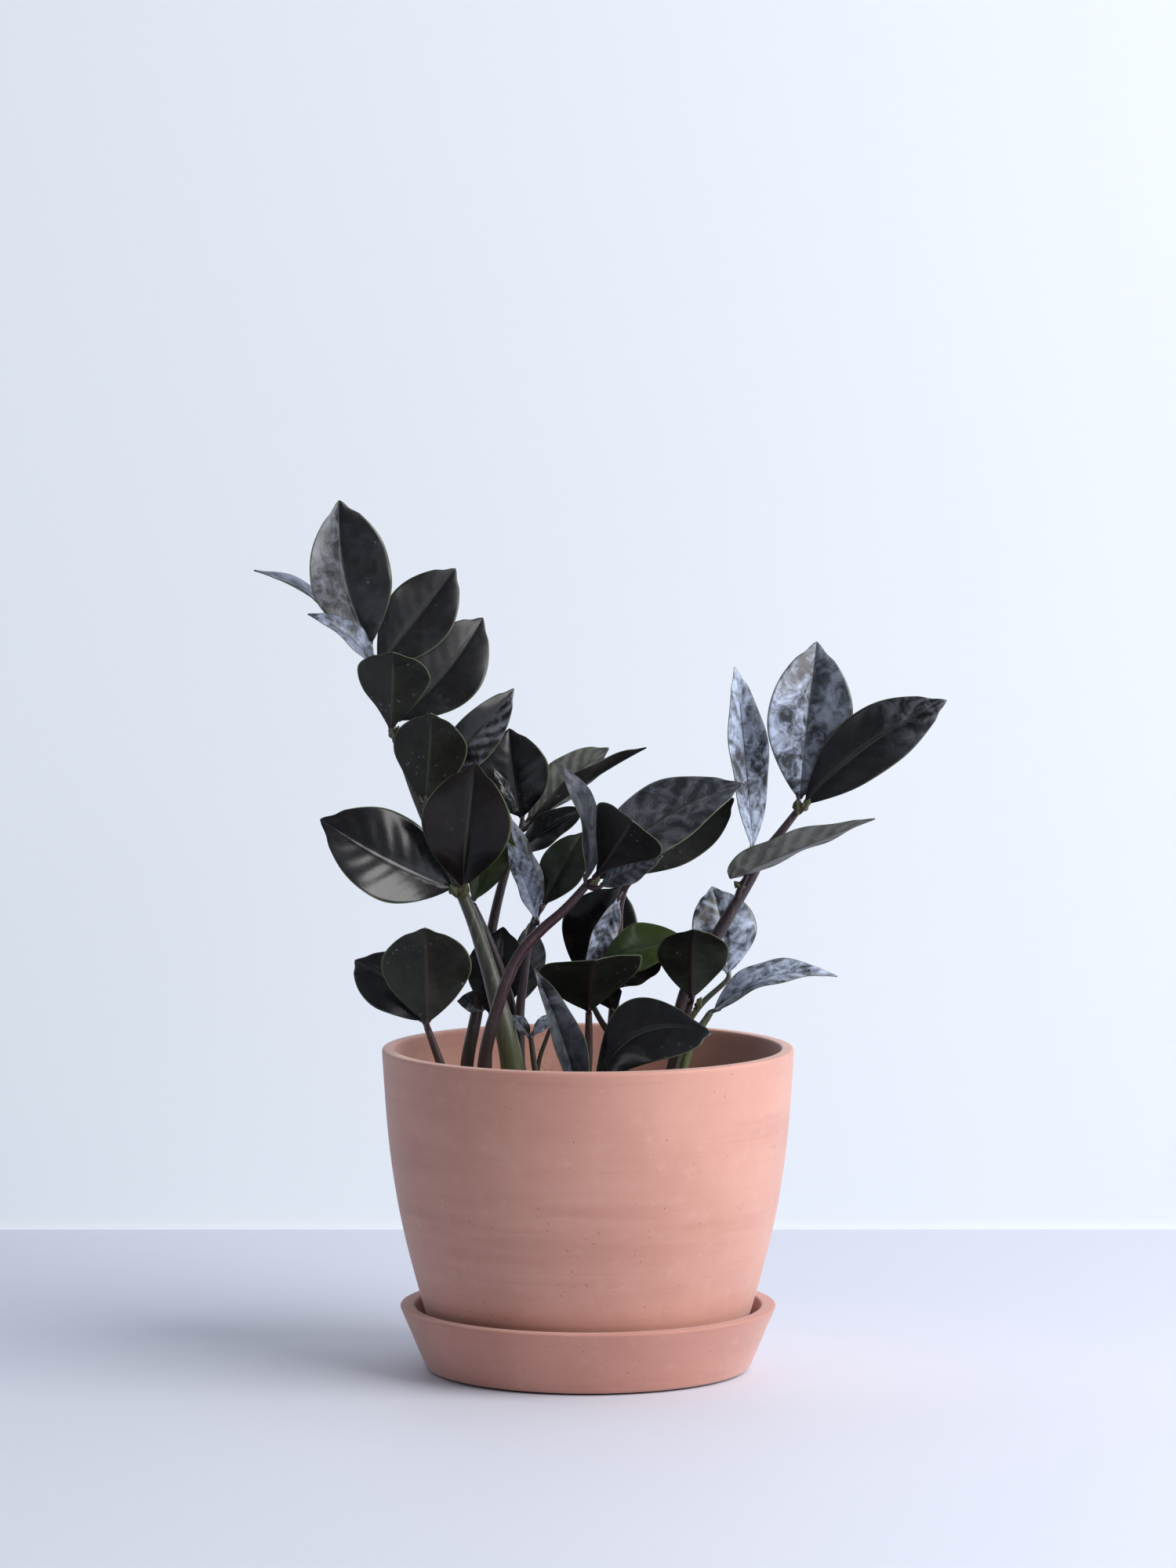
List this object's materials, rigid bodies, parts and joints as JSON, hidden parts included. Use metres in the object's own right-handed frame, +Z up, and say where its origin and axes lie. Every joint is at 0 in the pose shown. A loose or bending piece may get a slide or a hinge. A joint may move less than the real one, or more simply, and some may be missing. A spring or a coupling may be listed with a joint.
{
  "type": "potted zz plant",
  "caption": "Black-leaved zz plant on upright and leaning stems, growing in a round terracotta-pink pot that stands on a matching flared saucer.",
  "frame": {"origin": "middle of the saucer's flat underside, on the surface the plant stands on", "axes": "+Z up along the pot's axis, +X to the right and +Y to the back as the plant is seen from its front"},
  "size_m": [0.2675, 0.16, 0.3369],
  "materials": {
    "pot_clay": "matt terracotta pink with fine mottling and faint turning lines",
    "saucer_clay": "matt terracotta pink, a little deeper than the pot",
    "potting_mix": "dark damp peat and bark crumbs",
    "stem_skin": "smooth dark purple-brown with pale streaks, green at the thick bases",
    "leaf_skin": "near-black, waxy gloss above, matt olive-black below, thin pale margin"
  },
  "bodies": {
    "root": {"saucer": "saucer_clay", "pot": "pot_clay", "soil": "potting_mix", "left_tall_stem": "stem_skin", "left_tall_leaflet_1": "leaf_skin", "left_tall_leaflet_2": "leaf_skin", "left_tall_leaflet_3": "leaf_skin", "left_tall_leaflet_4": "leaf_skin", "left_tall_leaflet_5": "leaf_skin", "left_tall_leaflet_6": "leaf_skin", "left_tall_leaflet_7": "leaf_skin", "left_tall_leaflet_8": "leaf_skin", "left_tall_leaflet_9": "leaf_skin", "left_tall_leaflet_10": "leaf_skin", "left_second_stem": "stem_skin", "left_second_leaflet_1": "leaf_skin", "mid_left_stem": "stem_skin", "mid_left_leaflet_1": "leaf_skin", "mid_left_leaflet_2": "leaf_skin", "mid_left_leaflet_3": "leaf_skin", "back_stem": "stem_skin", "back_leaflet_1": "leaf_skin", "back_leaflet_2": "leaf_skin", "back_leaflet_3": "leaf_skin", "back_leaflet_4": "leaf_skin", "centre_stem": "stem_skin", "centre_leaflet_1": "leaf_skin", "centre_leaflet_2": "leaf_skin", "centre_leaflet_3": "leaf_skin", "centre_leaflet_4": "leaf_skin", "centre_right_stem": "stem_skin", "centre_right_leaflet_1": "leaf_skin", "centre_right_leaflet_2": "leaf_skin", "centre_right_leaflet_3": "leaf_skin", "centre_right_leaflet_4": "leaf_skin", "front_stem": "stem_skin", "front_leaflet_1": "leaf_skin", "front_leaflet_2": "leaf_skin", "front_low_stem": "stem_skin", "front_low_leaflet_1": "leaf_skin", "front_low_leaflet_2": "leaf_skin", "left_low_stem": "stem_skin", "left_low_leaflet_1": "leaf_skin", "left_low_leaflet_2": "leaf_skin", "left_back_stem": "stem_skin", "left_back_leaflet_1": "leaf_skin", "left_back_leaflet_2": "leaf_skin", "thin_stem": "stem_skin", "thin_leaflet_1": "leaf_skin", "right_tall_stem": "stem_skin", "right_tall_leaflet_1": "leaf_skin", "right_tall_leaflet_2": "leaf_skin", "right_tall_leaflet_3": "leaf_skin", "right_tall_leaflet_4": "leaf_skin", "right_low_stem": "stem_skin", "right_low_leaflet_1": "leaf_skin", "right_low_leaflet_2": "leaf_skin", "right_back_stem": "stem_skin", "right_back_leaflet_1": "leaf_skin", "right_back_leaflet_2": "leaf_skin"}
  },
  "joints": []
}
